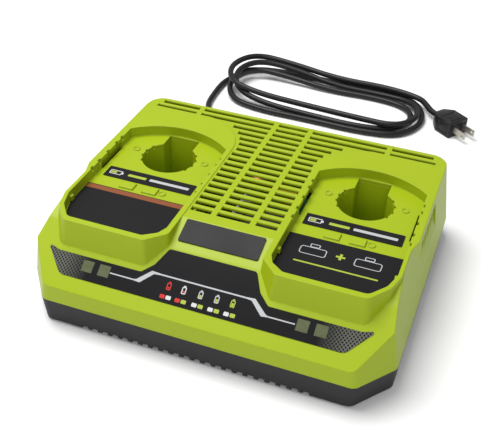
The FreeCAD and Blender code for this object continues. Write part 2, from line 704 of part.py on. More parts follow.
def power_leaf(side, edge):
    """Folded root, rising blade, inward touch point and turned-out tip."""
    x = side * PORT_X
    y = back(STEM_DEPTH)
    t = LEAF_T
    line = [(LEAF_ROOT_X - t / 2, LEAF_ROOT_Z), (LEAF_ROOT_X - t / 2, LEAF_ROOT_Z + 4.5), (LEAF_TOUCH_X, LEAF_TOUCH_Z),
            (LEAF_TIP_X, LEAF_TIP_Z), (LEAF_TIP_X + t, LEAF_TIP_Z), (LEAF_TOUCH_X + t * 1.4, LEAF_TOUCH_Z),
            (LEAF_ROOT_X + t / 2, LEAF_ROOT_Z + 5.1), (LEAF_ROOT_X + t / 2, LEAF_ROOT_Z)]
    wire = rounded([(x + edge * u, z, 0) for u, z in line], wall_xz(y - LEAF_W / 2))
    blade = prism(wire, V(0, LEAF_W, 0))
    root = Part.makeCylinder(LEAF_ROOT_R, LEAF_W, V(x + edge * LEAF_ROOT_X, y - LEAF_W / 2, LEAF_ROOT_Z), V(0, 1, 0))
    return fuse([blade, root])


def signal_leaves(side):
    """Two fixed blades that reach through the front of the well, on the carrier."""
    x = side * PORT_X
    y = back(STEM_DEPTH) - STEM_R
    blades = []
    for u in (-7.0, 7.0):
        blade = fuse([block(x + u - 0.6, x + u + 0.6, y - 5.2, y - 4.4, WELL_BOTTOM_Z, 28),
                      block(x + u - 0.6, x + u + 0.6, y - 5.2, y + 1.6, 23, 24.2),
                      block(x + u - 0.6, x + u + 0.6, y - 5.2, y + 12.0, WELL_BOTTOM_Z - BLOCK[2] - 0.8,
                            WELL_BOTTOM_Z - BLOCK[2]),
                      block(x + u - 0.6, x + u + 0.6, y - 5.2, y - 4.4, WELL_BOTTOM_Z - BLOCK[2] - 0.8, WELL_BOTTOM_Z + 1)])
        blades.append(blade)
    return blades


# Electronics

def main_board():
    board = block(-BOARD[0] / 2, BOARD[0] / 2, back(BOARD_FRONT), back(BOARD_FRONT + BOARD[1]), BOARD_Z, BOARD_Z + BOARD[2])
    return board.cut([post(x, back(d), BOARD_Z - 1, BOARD_Z + 5, BOARD_SCREW_R + RUN) for x, d in board_posts()])


def on_board(x, depth, size):
    """Box that stands on the board, centred at a place."""
    z = BOARD_Z + BOARD[2]
    return block(x - size[0] / 2, x + size[0] / 2, back(depth) - size[1] / 2, back(depth) + size[1] / 2, z, z + size[2])


def can(x, depth, r, h):
    z = BOARD_Z + BOARD[2]
    body = post(x, back(depth), z, z + h, r)
    rim = body.makeFillet(min(1.0, r / 4), [e for e in body.Edges if e.BoundBox.ZMin > z + h - 0.1 and e.Length > r])
    return rim.cut(fuse([on_board(x, depth, (r * 1.2, 0.5, 1)).translated(V(0, 0, h - 0.4)),
                         on_board(x, depth, (0.5, r * 1.2, 1)).translated(V(0, 0, h - 0.4))]))


def transformer_core():
    outer = on_board(TRANSFORMER_X, TRANSFORMER_DEPTH, (38, 30, 30))
    window = on_board(TRANSFORMER_X, TRANSFORMER_DEPTH, (26, 40, 18)).translated(V(0, 0, 6))
    leg = on_board(TRANSFORMER_X, TRANSFORMER_DEPTH, (10, 30, 19)).translated(V(0, 0, 5.5))
    return fuse([outer.cut(window), leg])


def transformer_coil():
    ring = on_board(TRANSFORMER_X, TRANSFORMER_DEPTH, (24.6, 26, 17)).translated(V(0, 0, 6.5))
    soft = ring.makeFillet(3.0, [e for e in ring.Edges if abs(e.BoundBox.YLength) > 20])
    return soft.cut(on_board(TRANSFORMER_X, TRANSFORMER_DEPTH, (10.6, 40, 30)))


def filter_choke():
    z = BOARD_Z + BOARD[2]
    foot = on_board(CHOKE_X, CHOKE_DEPTH, (20, 12, 3))
    ring = Part.makeTorus(9, 4.2, V(CHOKE_X, back(CHOKE_DEPTH), z + 14.2), V(0, 1, 0))
    return [foot.cut(ring), ring]


def heatsink(x, depth, length, fins):
    plate = on_board(x, depth, (2.2, length, 34))
    step = length / fins
    comb = [on_board(x - 4.4, depth - length / 2 + step * (i + 0.5), (7.0, 1.4, 34)) for i in range(fins)]
    return fuse([plate] + comb)


def power_devices():
    devices = []
    for x, depth in ((-19.3, 130), (-19.3, 148), (42.9, 112), (42.9, 130)):
        tab = on_board(x, depth, (4.4, 10, 15)).translated(V(0, 0, 9))
        legs = [on_board(x, depth + s, (0.8, 1.1, 9.5)) for s in (-2.6, 0, 2.6)]
        devices.append(fuse([tab] + legs))
    return devices


def connector(x, depth, size, pins):
    shell = on_board(x, depth, size)
    inner = on_board(x, depth, (size[0] - 2, size[1] - 2, size[2])).translated(V(0, 0, 2))
    step = (size[0] - 2) / pins
    posts = [on_board(x - (size[0] - 2) / 2 + step * (i + 0.5), depth, (0.9, 0.9, size[2] - 1)) for i in range(pins)]
    return fuse([shell.cut(inner)] + posts)


def fuse_holder():
    z = BOARD_Z + BOARD[2] + 4.2
    y0 = back(204)
    glass = Part.makeCylinder(2.6, 14, V(-30, y0 - 7, z), V(0, 1, 0))
    clips = [block(-33, -27, y0 + s - 1.2, y0 + s + 1.2, BOARD_Z + BOARD[2], z - 1.0) for s in (-5.5, 5.5)]
    return fuse([glass] + clips)


def tube(points, r, bend):
    """Round wire through points, with an arc of about the given radius at each bend."""
    points = [V(*p) for p in points]
    edges = []
    here = points[0]
    for a, b, c in zip(points, points[1:], points[2:]):
        before = a.sub(b)
        after = c.sub(b)
        reach = 0.45 * min(before.Length, after.Length)
        half = before.getAngle(after) / 2
        radius = min(bend, reach * math.tan(half)) if bend else reach * math.tan(half)
        reach = radius / math.tan(half)
        before.normalize()
        after.normalize()
        start = b.add(before * reach)
        end = b.add(after * reach)
        inward = before.add(after)
        inward.normalize()
        middle = b.add(inward * (radius / math.sin(half) - radius))
        edges.append(Part.LineSegment(here, start).toShape())
        edges.append(Part.Arc(start, middle, end).toShape())
        here = end
    edges.append(Part.LineSegment(here, points[-1]).toShape())
    path = Part.Wire(edges)
    heading = points[1].sub(points[0])
    ring = Part.Wire(Part.makeCircle(r, points[0], heading))
    return path.makePipeShell([ring], True, False), path


def port_leads(side):
    """Two power wires from the board's connector to the cradles of one port."""
    wires = []
    z = BOARD_Z + BOARD[2] + 9.5
    inner = side * (PORT_X - BLOCK[0] / 2 - 1.3)
    outer = side * (PORT_X + BLOCK[0] / 2 + 1.3)
    y = back(STEM_DEPTH)
    near = [(side * 38.2, back(OUTPUT_DEPTH), z), (side * 38.2, back(OUTPUT_DEPTH), z + 7), (side * 49.5, back(94), z + 4),
            (inner, back(118), z - 2), (inner, y - 2, LEAF_ROOT_Z - 1)]
    far = [(side * 41.8, back(OUTPUT_DEPTH), z), (side * 41.8, back(OUTPUT_DEPTH), z + 9), (side * 60, back(84), z + 3),
           (side * 92, back(96), z - 5), (side * 112, back(104), z - 6), (outer, back(122), z - 5), (outer, y - 2, LEAF_ROOT_Z - 1)]
    for route in (near, far):
        wires.append(tube(route, 1.1, 6)[0])
    return wires


def led_leads():
    wires = []
    for side in (-1, 1):
        start = (side * 20.0, back(67.5), BOARD_Z + BOARD[2] + 7)
        route = [start, (side * 20.0, back(67.5), 30), (side * 30.0, back(50), 36), (side * 62.0, back(36), 36),
                 (side * 74.0, back(29.5), 35.5)]
        wires.append(tube(route, 0.9, 5)[0])
    return wires


# Mains cord

def strain_relief():
    """Flange inside, neck in the bore, collar and ribbed taper outside."""
    y = back(DEPTH) - BASE_WALL
    wall = Part.makeCylinder(CORD_R + 1.5 - FIT, BASE_WALL + 3, V(CORD_X, y - 2, CORD_Z), V(0, 1, 0))
    flange = Part.makeCylinder(CORD_R + 3.4, 2.0, V(CORD_X, y - 3.2, CORD_Z), V(0, 1, 0))
    collar = Part.makeCylinder(CORD_R + 3.4, 2.0, V(CORD_X, back(DEPTH) + 0.05, CORD_Z), V(0, 1, 0))
    taper = Part.makeCone(CORD_R + 2.6, CORD_R + 0.9, RELIEF_LENGTH - 2, V(CORD_X, back(DEPTH) + 2, CORD_Z), V(0, 1, 0))
    body = fuse([wall, flange, collar, taper])
    for i in range(5):
        y0 = back(DEPTH) + 6 + i * 5.6
        gap = Part.makeCylinder(20, 1.6, V(CORD_X, y0, CORD_Z), V(0, 1, 0))
        body = body.cut(gap.cut(Part.makeCylinder(CORD_R + 0.8, 1.6, V(CORD_X, y0, CORD_Z), V(0, 1, 0))))
    return body.cut(Part.makeCylinder(CORD_R + FIT, 60, V(CORD_X, y - 5, CORD_Z), V(0, 1, 0)))


def cord_clamp():
    y = back(220)
    bar = block(CORD_X - 12, CORD_X + 12, y - 4, y + 4, CORD_Z - 0.4, CORD_Z + CORD_R + 2.2)
    hollow = Part.makeCylinder(CORD_R + FIT, 20, V(CORD_X, y - 10, CORD_Z), V(0, 1, 0))
    holes = [post(CORD_X + s * 8.5, y, 0, 40, 1.6) for s in (-1, 1)]
    return bar.cut([hollow] + holes)


def clamp_screws():
    top = CORD_Z + CORD_R + 2.2
    return [screw(CORD_X + s * 8.5, 220, top, 10.5, 2.6, 1.8, 1.3, False) for s in (-1, 1)]


def hank_point(turn):
    """Centre of the cord in the hank, after some turns from its left end."""
    inset = HANK_STEP * min(turn, 2 * HANK_REVERSE - turn)
    phi = math.pi - 2 * math.pi * turn
    x = HANK_X + (HANK_HALF_X - inset) * math.cos(phi)
    y = HANK_Y + (HANK_HALF_Y - inset) * (math.sin(phi) + HANK_WAIST * math.sin(3 * phi))
    climb = min(max((turn - HANK_REVERSE + 0.25) / 0.5, 0), 1)
    return V(x, y, CORD_R + CORD_FLOOR + LAYER_Z * climb * climb * (3 - 2 * climb))


def hank_heading(turn):
    ahead = hank_point(turn + 0.002).sub(hank_point(turn - 0.002))
    if turn > HANK_TURNS - 0.01 or turn < 0.01:
        ahead.z = 0
    ahead.normalize()
    return ahead


def half_arc(start, control, end):
    """Arc from start to end whose tangents meet at the control point."""
    middle = (start + end) * 0.5
    rise = control.sub(middle)
    chord = end.sub(start).Length / 2
    if rise.Length < 1e-4:
        return Part.LineSegment(start, end).toShape()
    sag = chord * math.tan(math.atan2(rise.Length, chord) / 2)
    return Part.Arc(start, middle + rise * (sag / rise.Length), end).toShape()


def biarc(p0, t0, p1, t1):
    chord = p1.sub(p0)
    total = t0.add(t1)
    bend = 2 * (1 - t0.dot(t1))
    if bend < 1e-9:
        reach = chord.dot(chord) / (4 * chord.dot(t1))
    else:
        reach = (-chord.dot(total) + math.sqrt(chord.dot(total) ** 2 + bend * chord.dot(chord))) / bend
    c0 = p0 + t0 * reach
    c1 = p1 - t1 * reach
    joint = (c0 + c1) * 0.5
    return [half_arc(p0, c0, joint), half_arc(joint, c1, p1)]


def cord_hank():
    steps = math.ceil(HANK_TURNS * 8)
    edges = []
    for i in range(steps):
        a = HANK_TURNS * i / steps
        b = HANK_TURNS * (i + 1) / steps
        edges += biarc(hank_point(a), hank_heading(a), hank_point(b), hank_heading(b))
    path = Part.Wire(edges)
    ring = Part.Wire(Part.makeCircle(CORD_R, hank_point(0), hank_heading(0)))
    solid = path.makePipeShell([ring], True, False)
    radii = [e.Curve.Radius for e in path.Edges if hasattr(e.Curve, "Radius")]
    points = [hank_point(HANK_TURNS * i / 900) for i in range(901)]
    stride = HANK_TURNS / 900
    gap = min(a.sub(b).Length for i, a in enumerate(points) for j, b in enumerate(points)
              if (j - i) * stride > 0.3) - 2 * CORD_R
    print("hank: length", round(path.Length), "tightest", round(min(radii), 1), "least gap", round(gap, 2),
          "volume ratio", round(solid.Volume / (path.Length * math.pi * CORD_R ** 2), 4))
    return solid


def lead_route():
    """Cord from the wall, through the relief, down and back to the hank."""
    low = CORD_R + CORD_FLOOR
    start = hank_point(0)
    wall = back(DEPTH)
    return [(CORD_X, wall, CORD_Z), (CORD_X, wall + 50, CORD_Z), (CORD_X - 5, wall + 70, low + 3),
            (CORD_X - 15, wall + 86, low), (CORD_X - 30, wall + 98, low), (CORD_X - 39, wall + 114, low),
            (CORD_X - 41.2, wall + 133, low), tuple(start - hank_heading(0) * 18), tuple(start)]


def tail_route():
    """Cord from the hank's last turn to the plug."""
    end = hank_point(HANK_TURNS)
    ahead = hank_heading(HANK_TURNS)
    turn = math.radians(PLUG_TURN)
    rear = V(PLUG_REAR[0], PLUG_REAR[1], PLUG_BODY[2] / 2)
    before = rear - V(math.cos(turn), math.sin(turn), 0) * 12
    return [tuple(p) for p in (end, end + ahead * 12, before, rear)]


def report_tube(name, solid, path):
    radii = [e.Curve.Radius for e in path.Edges if hasattr(e.Curve, "Radius")]
    ratio = solid.Volume / (path.Length * math.pi * CORD_R ** 2)
    print(name, "length", round(path.Length), "radii", [round(r) for r in radii], "volume ratio", round(ratio, 4))


def inner_cord():
    """Cord inside the housing, from the back wall to the board's mains connector."""
    route = [(CORD_X, back(DEPTH), CORD_Z), (CORD_X, back(208), CORD_Z), (CORD_X + 3, back(196), CORD_Z + 1),
             (CORD_X + 16, back(MAINS_AT[1]), CORD_Z + 8), (-60, back(MAINS_AT[1]), CORD_Z + 20),
             (MAINS_AT[0], back(MAINS_AT[1]), CORD_Z + 22), (MAINS_AT[0], back(MAINS_AT[1]), BOARD_Z + BOARD[2] + 8.2)]
    return tube(route, CORD_R, 12)


def place_plug(shape):
    shape.rotate(V(0, 0, 0), UP, PLUG_TURN)
    shape.translate(V(PLUG_REAR[0], PLUG_REAR[1], 0))
    return shape


def plug_body():
    length, width, height = PLUG_BODY
    rear = rounded([(-width * 0.3, 1.5, 2), (width * 0.3, 1.5, 2), (width * 0.3, height - 1.5, 2),
                    (-width * 0.3, height - 1.5, 2)], lambda u, v: V(0, u, v))
    shoulder = rounded([(-width / 2, 0, 2), (width / 2, 0, 2), (width / 2, height, 2), (-width / 2, height, 2)],
                       lambda u, v: V(10, u, v))
    face = rounded([(-width / 2, 0, 2), (width / 2, 0, 2), (width / 2, height, 2), (-width / 2, height, 2)],
                   lambda u, v: V(length, u, v))
    body = Part.makeLoft([rear, shoulder, face], True, True)
    for side in (-1, 1):
        body = body.cut(blade_solid(side, 12.0))
    return place_plug(body)


def blade_solid(side, root):
    length, thick, tall = BLADE
    y = side * BLADE_PITCH / 2
    z = PLUG_BODY[2] / 2
    tip = PLUG_BODY[0] + length
    return block(PLUG_BODY[0] - root, tip, y - thick / 2, y + thick / 2, z - tall / 2, z + tall / 2)


def plug_blades():
    blades = []
    for side in (-1, 1):
        blade = blade_solid(side, 12.0)
        y = side * BLADE_PITCH / 2
        tip = PLUG_BODY[0] + BLADE[0]
        blade = blade.makeChamfer(0.6, [e for e in blade.Edges if e.BoundBox.XMin > tip - 0.1 and e.Length > 3])
        hole = Part.makeCylinder(1.6, 6, V(tip - 3.6, y - 3, PLUG_BODY[2] / 2), V(0, 1, 0))
        blades.append(place_plug(blade.cut(hole)))
    return blades


def main():
    os.makedirs("parts", exist_ok=True)
    outer = outer_body()
    save("top_shell", top_shell(outer))
    save("base_shell", base_shell())
    save("fascia_overlay", fascia_overlay())
    save("indicator_windows", indicator_windows())
    save("light_pipes", light_pipes())
    save("indicator_boards", led_boards())
    save("indicator_leds", leds())
    save("name_plate", brand_plate())
    for name, side in (("left", -1), ("right", 1)):
        save("stem_well_" + name, stem_well(side))
        save("terminal_block_" + name, terminal_block(side))
        save("power_leaf_" + name + "_inner", power_leaf(side, -side))
        save("power_leaf_" + name + "_outer", power_leaf(side, side))
        save("signal_leaves_" + name, signal_leaves(side))
        save("strip_sticker_" + name, strip_label(side))
        save("port_sticker_" + name, pocket_label(side))
        save("port_leads_" + name, port_leads(side))
    save("rubber_feet", feet())
    save("housing_screws", housing_screws())
    save("board_screws", board_screws())
    save("main_board", main_board())
    save("transformer_core", transformer_core())
    save("transformer_coil", transformer_coil())
    save("filter_choke", filter_choke())
    save("filter_capacitor", on_board(7, 197, (18, 8.5, 15)))
    save("bulk_capacitors", [can(-32, 92, 9, 31), can(-32, 112, 9, 31)])
    save("output_capacitors", [can(x, d, 5, 20) for x, d in ((14, 90), (26, 90), (14, 78), (26, 78))])
    save("bridge_rectifier", on_board(-32, 172, (18, 4.2, 15)))
    save("primary_heatsink", heatsink(-15.9, 139, 40, 6).mirror(V(-15.9, 0, 0), V(1, 0, 0)))
    save("secondary_heatsink", heatsink(39.5, 121, 40, 6))
    save("power_devices", power_devices())
    save("mains_fuse", fuse_holder())
    save("mains_connector", connector(*MAINS_AT, (9.6, 9.0, 9.0), 2))
    save("output_connectors", [connector(side * 40, OUTPUT_DEPTH, (11, 7, 9), 3) for side in (-1, 1)]
         + [connector(side * 20, 67.5, (6, 5, 7), 2) for side in (-1, 1)])
    save("indicator_leads", led_leads())
    save("cord_clamp", cord_clamp())
    save("clamp_screws", clamp_screws())
    save("strain_relief", strain_relief())
    inner, path = inner_cord()
    report_tube("mains_lead_inside", inner, path)
    save("mains_lead_inside", inner)
    lead, path = tube(lead_route(), CORD_R, 0)
    report_tube("cord", lead, path)
    tail, path = tube(tail_route(), CORD_R, 0)
    report_tube("cord tail", tail, path)
    save("mains_cord", [lead, tail])
    save("cord_hank", cord_hank())
    save("plug_body", plug_body())
    save("plug_blades", plug_blades())


main()
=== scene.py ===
import math

import bpy
from mathutils import Matrix, Vector


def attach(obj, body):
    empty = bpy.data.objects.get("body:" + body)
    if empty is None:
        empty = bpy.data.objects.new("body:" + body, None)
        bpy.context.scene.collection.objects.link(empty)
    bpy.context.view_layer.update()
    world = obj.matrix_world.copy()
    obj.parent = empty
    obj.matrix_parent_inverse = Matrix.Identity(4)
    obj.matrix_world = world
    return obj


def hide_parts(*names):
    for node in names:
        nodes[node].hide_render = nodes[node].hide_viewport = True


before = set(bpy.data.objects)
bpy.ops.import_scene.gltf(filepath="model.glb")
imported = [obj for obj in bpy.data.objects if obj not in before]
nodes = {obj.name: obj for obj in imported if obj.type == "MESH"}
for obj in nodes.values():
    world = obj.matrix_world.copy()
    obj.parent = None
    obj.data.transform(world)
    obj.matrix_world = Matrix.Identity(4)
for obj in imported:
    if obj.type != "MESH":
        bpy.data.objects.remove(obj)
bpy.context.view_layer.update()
bpy.ops.object.select_all(action="DESELECT")


# Camera. It stands at the front right, above the charger, as the photograph was taken,
# turned a little about its own line of sight.
turn, height, roll = math.radians(19.19), math.radians(36.76), math.radians(2.15)
forward = Vector((-math.sin(turn) * math.cos(height), math.cos(turn) * math.cos(height), -math.sin(height)))
level = Vector((math.cos(turn), math.sin(turn), 0.0))
above = level.cross(forward)
across = level * math.cos(roll) + above * math.sin(roll)
upward = above * math.cos(roll) - level * math.sin(roll)
bpy.ops.object.camera_add(location=(0.17928, -0.51592, 0.45070))
camera = bpy.context.object
camera.name = "camera"
camera.matrix_world = Matrix.Translation(camera.location) @ Matrix((across, upward, -forward)).transposed().to_4x4()
camera.data.sensor_width = 36.0
camera.data.lens = 61.4
camera.data.clip_start = 0.01
camera.data.clip_end = 20.0
bpy.context.scene.camera = camera
bpy.context.scene.view_settings.view_transform = "Standard"


# Mains cord. A round black two-core lead of about two metres. It leaves a ribbed sleeve at the
# back, drops to the bench, and is gathered in a loose hank of three and a half turns whose left
# ends fan out and stand up, before it runs into the plug.
cord_width = 0.0062
lead = [(-96, 154, 13), (-96, 170, 13), (-101, 190, 6.25), (-111, 206, 3.25), (-126, 218, 3.25),
        (-135, 234, 3.25), (-137.2, 253, 3.25), (-138.3, 273, 3.25)]
first_turn = [(-138, 291, 3.25), (-124, 332, 3.25), (-81, 341, 3.25), (-24, 338, 3.25), (31, 340, 3.25),
              (74, 330, 3.25), (90, 290, 3.25), (72, 250.5, 3.25), (28, 243.5, 3.25), (-27, 246, 3.25),
              (-81, 245.5, 3.25), (-119, 256, 4.2)]
second_turn = [(-131, 292, 10.2), (-115, 321, 11), (-74, 323, 7.5), (-22, 317.5, 3.6), (29, 321, 3.3),
               (65, 314, 3.3), (77.5, 288.5, 3.4), (62, 259, 3.5), (22, 251, 3.7), (-28, 253.5, 4.4),
               (-79, 254, 7), (-113, 264, 12)]
third_turn = [(-126.5, 294, 17.8), (-111, 325, 19.4), (-72, 331.5, 14.5), (-20, 328, 4.8), (31, 331, 3.5),
              (70, 322, 6.3), (84.5, 288, 9.9), (67.5, 255.5, 10.6), (24, 259.5, 9.2), (-32, 262.5, 9.8),
              (-85, 259, 14.5), (-121, 265, 19.5)]
last_part = [(-134, 298, 22), (-118, 336, 21), (-74, 339, 16.2), (-18, 334, 10.6), (37, 337, 10),
             (76, 327.5, 10.2), (86, 315.5, 9.7), (92.5, 306.2, 8.6), (101.5, 299.5, 8.5)]
route = lead + first_turn + second_turn + third_turn + last_part
line = bpy.data.curves.new("mains_lead", "CURVE")
line.dimensions = "3D"
line.bevel_depth = 1.0
line.bevel_resolution = 5
line.resolution_u = 10
line.use_fill_caps = True
spline = line.splines.new("NURBS")
spline.points.add(len(route) - 1)
for point, (x, y, z) in zip(spline.points, route):
    point.co = (x / 1000, y / 1000, z / 1000, 1.0)
    point.radius = cord_width / 2
spline.order_u = 3
spline.use_endpoint_u = True
cord = bpy.data.objects.new("mains_lead", line)
bpy.context.scene.collection.objects.link(cord)
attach(cord, "charger")
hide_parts("mains_cord", "cord_hank")


# Plug. A moulded two-blade plug of the same black vinyl as the cord, with a tapered heel,
# flat cheeks and a shallow sunk panel on each broad face. The CAD blades stand in its front.
plug_length, plug_width, plug_height = 0.030, 0.025, 0.017
plug_rear, plug_turn = Vector((0.1015, 0.2995, 0.0)), math.radians(-37.0)


def faces_where(mesh, test):
    """Select just the faces whose centre and normal pass the test."""
    bpy.ops.mesh.select_all(action="DESELECT")
    bpy.ops.object.mode_set(mode="OBJECT")
    for face in mesh.polygons:
        face.select = bool(test(face.center, face.normal))
    bpy.ops.object.mode_set(mode="EDIT")


def settle(piece, matrix=None):
    """Leave the piece's place in its mesh and its object at the origin."""
    bpy.ops.object.select_all(action="DESELECT")
    piece.select_set(True)
    bpy.context.view_layer.objects.active = piece
    if matrix is not None:
        piece.matrix_world = matrix @ piece.matrix_world
    bpy.ops.object.transform_apply(location=True, rotation=True, scale=True)


def keep(piece, name, material):
    piece.name = name
    piece.data.name = name
    piece.data.materials.clear()
    piece.data.materials.append(material)
    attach(piece, "charger")


bpy.ops.mesh.primitive_cube_add(size=1, location=(plug_length / 2, 0, plug_height / 2),
                                scale=(plug_length, plug_width, plug_height))
plug = bpy.context.object
bpy.ops.object.transform_apply(location=True, rotation=True, scale=True)
bpy.ops.object.mode_set(mode="EDIT")
bpy.ops.mesh.select_all(action="SELECT")
bpy.ops.mesh.bisect(plane_co=(0.010, 0, 0), plane_no=(1, 0, 0))
faces_where(plug.data, lambda c, n: c.x < 0.001)
bpy.ops.transform.resize(value=(1, 0.5, 0.8))
faces_where(plug.data, lambda c, n: abs(n.z) > 0.9 and c.x > 0.012)
bpy.ops.mesh.inset(thickness=0.0030, use_individual=True)
bpy.ops.mesh.inset(thickness=0.0007, depth=-0.0010, use_individual=True)
bpy.ops.mesh.inset(thickness=0.0007, depth=0.0010, use_individual=True)
bpy.ops.object.mode_set(mode="OBJECT")
edge = plug.modifiers.new("edge", "BEVEL")
edge.width = 0.0008
edge.segments = 3
edge.limit_method = "ANGLE"
edge.angle_limit = math.radians(40)
bpy.ops.object.modifier_apply(modifier="edge")
bpy.ops.object.shade_smooth_by_angle(angle=math.radians(35))
settle(plug, Matrix.Translation(plug_rear) @ Matrix.Rotation(plug_turn, 4, "Z"))


# Moulded plastic, wherever it is used: a fine spark texture, faint cloudiness in the colour,
# and edges that are slightly rounded, with a painted highlight that colours them lighter.
def moulded_surface():
    group = bpy.data.node_groups.new("moulded surface", "ShaderNodeTree")
    for name, kind, value in (("Colour", "NodeSocketColor", (0.5, 0.5, 0.5, 1)), ("Edge highlight colour", "NodeSocketColor", (1, 1, 1, 1)),
                              ("Grain", "NodeSocketFloat", 2500.0), ("Cloud", "NodeSocketFloat", 0.08),
                              ("Gloss", "NodeSocketFloat", 0.45), ("Edge", "NodeSocketFloat", 0.0008),
                              ("Edge highlight", "NodeSocketFloat", 0.35)):
        socket = group.interface.new_socket(name, in_out="INPUT", socket_type=kind)
        socket.default_value = value
    for name, kind in (("Colour", "NodeSocketColor"), ("Roughness", "NodeSocketFloat"),
                       ("Height", "NodeSocketFloat"), ("Normal", "NodeSocketVector")):
        group.interface.new_socket(name, in_out="OUTPUT", socket_type=kind)
    add, link = group.nodes.new, group.links.new
    start, end = add("NodeGroupInput"), add("NodeGroupOutput")
    place = add("ShaderNodeTexCoord")
    grain = add("ShaderNodeTexNoise")
    grain.inputs["Detail"].default_value = 2.0
    link(place.outputs["Object"], grain.inputs["Vector"])
    link(start.outputs["Grain"], grain.inputs["Scale"])
    link(grain.outputs["Fac"], end.inputs["Height"])
    cloud = add("ShaderNodeTexNoise")
    cloud.inputs["Scale"].default_value = 22.0
    cloud.inputs["Detail"].default_value = 4.0
    link(place.outputs["Object"], cloud.inputs["Vector"])
    spread = add("ShaderNodeMath")
    spread.operation = "SUBTRACT"
    link(cloud.outputs["Fac"], spread.inputs[0])
    spread.inputs[1].default_value = 0.5
    amount = add("ShaderNodeMath")
    amount.operation = "MULTIPLY_ADD"
    link(spread.outputs[0], amount.inputs[0])
    link(start.outputs["Cloud"], amount.inputs[1])
    amount.inputs[2].default_value = 1.0
    shade = add("ShaderNodeVectorMath")
    shade.operation = "SCALE"
    link(start.outputs["Colour"], shade.inputs[0])
    link(amount.outputs[0], shade.inputs["Scale"])
    bevel = add("ShaderNodeBevel")
    bevel.samples = 6
    link(start.outputs["Edge"], bevel.inputs["Radius"])
    link(bevel.outputs["Normal"], end.inputs["Normal"])
    true_normal = add("ShaderNodeNewGeometry")
    align = add("ShaderNodeVectorMath")
    align.operation = "DOT_PRODUCT"
    link(bevel.outputs["Normal"], align.inputs[0])
    link(true_normal.outputs["Normal"], align.inputs[1])
    # Painted highlight: where the rounded normal turns away from the true one, the colour is mixed towards a lighter
    # highlight colour.
    mask = add("ShaderNodeMapRange")
    mask.inputs["From Min"].default_value = 0.995
    mask.inputs["From Max"].default_value = 0.80
    link(align.outputs["Value"], mask.inputs["Value"])
    painted_edge_highlight = add("ShaderNodeMath")
    painted_edge_highlight.operation = "MULTIPLY"
    link(mask.outputs["Result"], painted_edge_highlight.inputs[0])
    link(start.outputs["Edge highlight"], painted_edge_highlight.inputs[1])
    mix = add("ShaderNodeMix")
    mix.data_type = "RGBA"
    link(painted_edge_highlight.outputs[0], mix.inputs["Factor"])
    link(shade.outputs["Vector"], mix.inputs["A"])
    link(start.outputs["Edge highlight colour"], mix.inputs["B"])
    link(mix.outputs["Result"], end.inputs["Colour"])
    rough = add("ShaderNodeMath")
    rough.operation = "MULTIPLY_ADD"
    link(spread.outputs[0], rough.inputs[0])
    rough.inputs[1].default_value = 0.18
    link(start.outputs["Gloss"], rough.inputs[2])
    link(rough.outputs[0], end.inputs["Roughness"])
    return group


moulding = moulded_surface()


# The second colour and its amount are a painted highlight along the rounded edges, not wear.
def plastic(name, colour, edge_highlight_colour, gloss, grain=2500.0, bump=0.06, edge=0.0008, edge_highlight=0.35, cloud=0.08, shine=0.35):
    material = bpy.data.materials.new(name)
    material.use_nodes = True
    tree = material.node_tree
    shader = tree.nodes["Principled BSDF"]
    surface = tree.nodes.new("ShaderNodeGroup")
    surface.node_tree = moulding
    surface.inputs["Colour"].default_value = (*colour, 1)
    surface.inputs["Edge highlight colour"].default_value = (*edge_highlight_colour, 1)
    surface.inputs["Gloss"].default_value = gloss
    surface.inputs["Grain"].default_value = grain
    surface.inputs["Edge"].default_value = edge
    surface.inputs["Edge highlight"].default_value = edge_highlight
    surface.inputs["Cloud"].default_value = cloud
    relief = tree.nodes.new("ShaderNodeBump")
    relief.inputs["Strength"].default_value = bump
    relief.inputs["Distance"].default_value = 0.0002
    tree.links.new(surface.outputs["Height"], relief.inputs["Height"])
    tree.links.new(surface.outputs["Normal"], relief.inputs["Normal"])
    tree.links.new(relief.outputs["Normal"], shader.inputs["Normal"])
    tree.links.new(surface.outputs["Colour"], shader.inputs["Base Color"])
    tree.links.new(surface.outputs["Roughness"], shader.inputs["Roughness"])
    shader.inputs["Specular IOR Level"].default_value = shine
    return material


def dress(material, *names):
    for name in names:
        mesh = nodes[name].data
        mesh.materials.clear()
        mesh.materials.append(material)


vinyl = plastic("black vinyl", (0.009, 0.009, 0.010), (0.04, 0.04, 0.042), 0.40, grain=900, bump=0.05, edge=0.0004, shine=0.3)
cord.data.materials.append(vinyl)
keep(plug, "plug_moulding", vinyl)
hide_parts("plug_body")
dress(vinyl, "strain_relief", "mains_lead_inside")


# Housing. The upper shell is moulded in bright yellow-green, satin with a fine spark texture, and
# the port sockets are of the same plastic. The lower shell is charcoal grey with a coarser one.
green = plastic("yellow-green housing", (0.300, 0.390, 0.005), (0.45, 0.56, 0.03), 0.42, grain=3200, bump=0.05,
                edge=0.0011, edge_highlight=0.45, cloud=0.05, shine=0.26)
charcoal = plastic("charcoal housing", (0.019, 0.019, 0.021), (0.07, 0.07, 0.075), 0.55, grain=1500, bump=0.12,
                   edge=0.0009, shine=0.25)
dress(green, "top_shell", "stem_well_left", "stem_well_right")
dress(charcoal, "base_shell")


